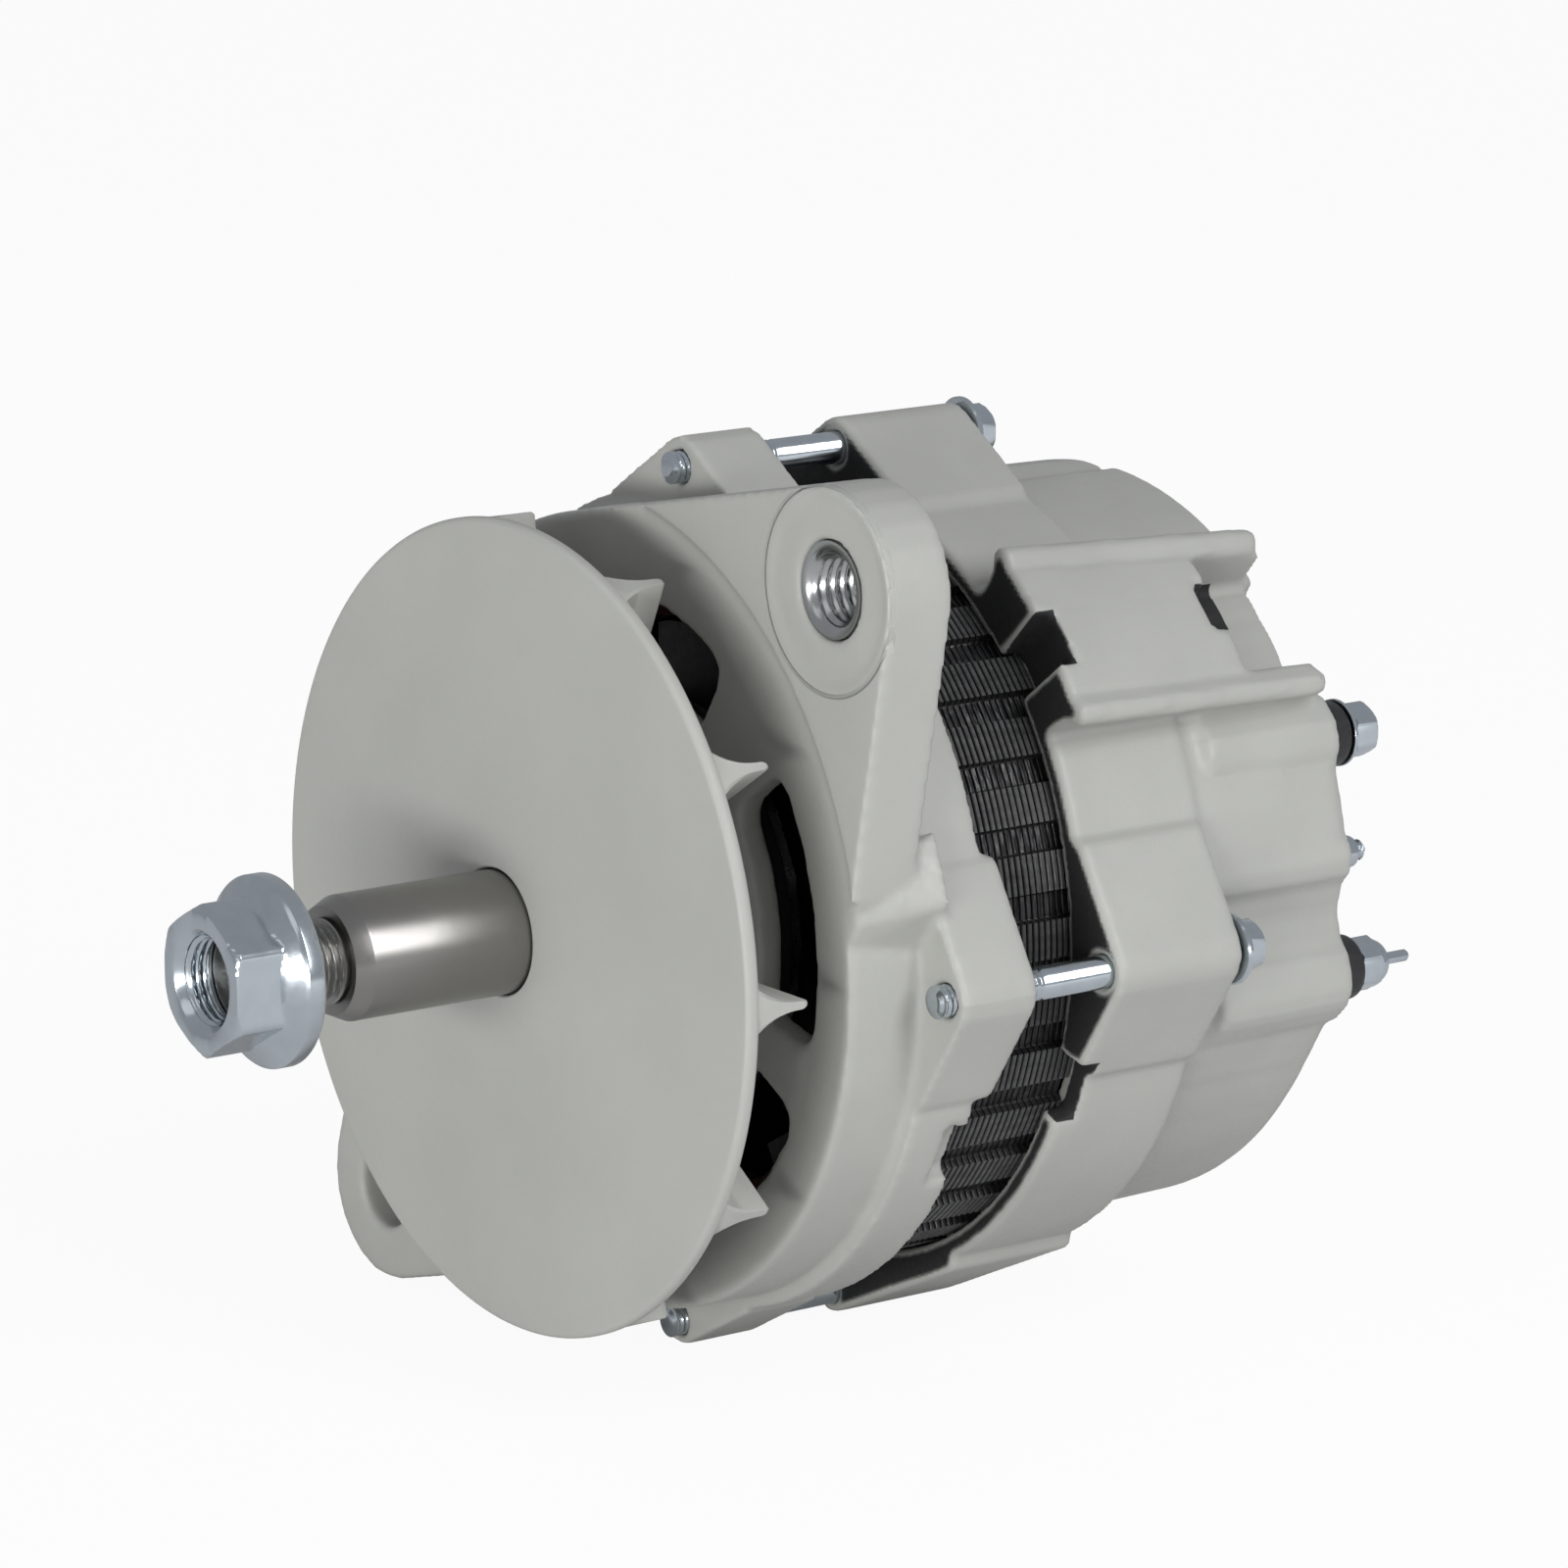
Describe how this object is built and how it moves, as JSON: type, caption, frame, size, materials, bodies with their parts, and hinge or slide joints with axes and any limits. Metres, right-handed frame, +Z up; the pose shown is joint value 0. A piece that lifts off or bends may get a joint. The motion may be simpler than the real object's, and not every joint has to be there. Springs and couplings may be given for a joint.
{
  "type": "alternator",
  "caption": "Heavy-duty vehicle alternator with an external fan, a claw-pole rotor, two cast end frames, a hinge and adjusting ear mount and a nut on its bare pulley shaft.",
  "frame": {"origin": "centre of the shaft's flat front end face", "axes": "+Y along the shaft axis from the nut and fan towards the rear terminals, +Z up as the machine stands in the picture, +X towards the adjusting ear's side"},
  "size_m": [0.1705, 0.2156, 0.1704],
  "materials": {
    "drive_end_frame": "light warm grey paint over a sand-cast surface, satin",
    "adjusting_ear_insert": "bright zinc plate with a slight blue cast",
    "bearing_retainer": "ground steel",
    "retainer_screw_1": "bright zinc plate with a slight blue cast",
    "retainer_screw_2": "bright zinc plate with a slight blue cast",
    "retainer_screw_3": "bright zinc plate with a slight blue cast",
    "front_bearing_outer_race": "ground steel",
    "rear_bearing_outer_race": "ground steel",
    "stator_core": "black lacquer over steel laminations",
    "stator_winding": "copper",
    "rear_frame": "light warm grey paint over a sand-cast surface, satin",
    "hinge_bushing": "ground steel",
    "through_bolt_1": "bright zinc plate with a slight blue cast",
    "through_bolt_2": "bright zinc plate with a slight blue cast",
    "through_bolt_3": "bright zinc plate with a slight blue cast",
    "through_bolt_4": "bright zinc plate with a slight blue cast",
    "negative_heat_sink": "plain aluminium",
    "positive_heat_sink": "plain aluminium",
    "diode_1": "bright zinc plate with a slight blue cast",
    "diode_2": "bright zinc plate with a slight blue cast",
    "diode_3": "bright zinc plate with a slight blue cast",
    "diode_4": "bright zinc plate with a slight blue cast",
    "diode_5": "bright zinc plate with a slight blue cast",
    "diode_6": "bright zinc plate with a slight blue cast",
    "heat_sink_spacer_1": "black moulded plastic",
    "heat_sink_spacer_2": "black moulded plastic",
    "output_insulator": "black moulded plastic",
    "output_stud": "bright zinc plate with a slight blue cast",
    "output_nut": "bright zinc plate with a slight blue cast",
    "ground_insulator": "black moulded plastic",
    "ground_washer": "bright zinc plate with a slight blue cast",
    "ground_stud": "bright zinc plate with a slight blue cast",
    "ground_nut": "bright zinc plate with a slight blue cast",
    "relay_terminal_screw": "bright zinc plate with a slight blue cast",
    "brush_holder": "black moulded plastic",
    "front_brush_spring": "ground steel",
    "rear_brush_spring": "ground steel",
    "voltage_regulator": "black moulded plastic",
    "diode_trio": "black moulded plastic",
    "capacitor": "plain aluminium",
    "rotor_shaft": "ground and polished dark steel",
    "shaft_nut": "bright zinc plate with a slight blue cast",
    "cooling_fan": "light warm grey paint over a sand-cast surface, satin",
    "fan_spacer": "ground steel",
    "front_bearing_inner_race": "ground steel",
    "rear_bearing_inner_race": "ground steel",
    "front_pole_piece": "forged iron, plain",
    "rear_pole_piece": "forged iron, plain",
    "field_coil": "copper",
    "slip_ring_sleeve": "black moulded plastic",
    "front_slip_ring": "copper",
    "rear_slip_ring": "copper",
    "front_bearing_ball_cage": "ground steel",
    "rear_bearing_ball_cage": "ground steel",
    "front_brush": "pressed carbon",
    "rear_brush": "pressed carbon"
  },
  "bodies": {
    "housing": {"drive_end_frame": "drive_end_frame", "adjusting_ear_insert": "adjusting_ear_insert", "bearing_retainer": "bearing_retainer", "retainer_screw_1": "retainer_screw_1", "retainer_screw_2": "retainer_screw_2", "retainer_screw_3": "retainer_screw_3", "front_bearing_outer_race": "front_bearing_outer_race", "rear_bearing_outer_race": "rear_bearing_outer_race", "stator_core": "stator_core", "stator_winding": "stator_winding", "rear_frame": "rear_frame", "hinge_bushing": "hinge_bushing", "through_bolt_1": "through_bolt_1", "through_bolt_2": "through_bolt_2", "through_bolt_3": "through_bolt_3", "through_bolt_4": "through_bolt_4", "negative_heat_sink": "negative_heat_sink", "positive_heat_sink": "positive_heat_sink", "diode_1": "diode_1", "diode_2": "diode_2", "diode_3": "diode_3", "diode_4": "diode_4", "diode_5": "diode_5", "diode_6": "diode_6", "heat_sink_spacer_1": "heat_sink_spacer_1", "heat_sink_spacer_2": "heat_sink_spacer_2", "output_insulator": "output_insulator", "output_stud": "output_stud", "output_nut": "output_nut", "ground_insulator": "ground_insulator", "ground_washer": "ground_washer", "ground_stud": "ground_stud", "ground_nut": "ground_nut", "relay_terminal_screw": "relay_terminal_screw", "brush_holder": "brush_holder", "front_brush_spring": "front_brush_spring", "rear_brush_spring": "rear_brush_spring", "voltage_regulator": "voltage_regulator", "diode_trio": "diode_trio", "capacitor": "capacitor"},
    "rotor": {"rotor_shaft": "rotor_shaft", "shaft_nut": "shaft_nut", "cooling_fan": "cooling_fan", "fan_spacer": "fan_spacer", "front_bearing_inner_race": "front_bearing_inner_race", "rear_bearing_inner_race": "rear_bearing_inner_race", "front_pole_piece": "front_pole_piece", "rear_pole_piece": "rear_pole_piece", "field_coil": "field_coil", "slip_ring_sleeve": "slip_ring_sleeve", "front_slip_ring": "front_slip_ring", "rear_slip_ring": "rear_slip_ring"},
    "front_cage": {"front_bearing_ball_cage": "front_bearing_ball_cage"},
    "rear_cage": {"rear_bearing_ball_cage": "rear_bearing_ball_cage"},
    "front_brush": {"front_brush": "front_brush"},
    "rear_brush": {"rear_brush": "rear_brush"}
  },
  "joints": [
    {"name": "rotor_spin", "type": "hinge", "parent": "housing", "child": "rotor", "pos_m": [0, 0, 0], "axis": [0, 1, 0], "continuous": true},
    {"name": "front_cage_spin", "type": "hinge", "parent": "housing", "child": "front_cage", "pos_m": [0, 0.0808, 0], "axis": [0, 1, 0], "continuous": true},
    {"name": "rear_cage_spin", "type": "hinge", "parent": "housing", "child": "rear_cage", "pos_m": [0, 0.1775, 0], "axis": [0, 1, 0], "continuous": true},
    {"name": "front_brush_slide", "type": "slide", "parent": "housing", "child": "front_brush", "axis": [0, 0, 1], "range_m": [0, 0.005], "stiffness_N_per_m": 100, "springref_m": -0.02, "deforming": ["front_brush_spring"]},
    {"name": "rear_brush_slide", "type": "slide", "parent": "housing", "child": "rear_brush", "axis": [0, 0, 1], "range_m": [0, 0.005], "stiffness_N_per_m": 100, "springref_m": -0.02, "deforming": ["rear_brush_spring"]}
  ],
  "couplings": [
    {"joint": "front_cage_spin", "follows": "rotor_spin", "ratio": 0.3713},
    {"joint": "rear_cage_spin", "follows": "rotor_spin", "ratio": 0.3842}
  ]
}
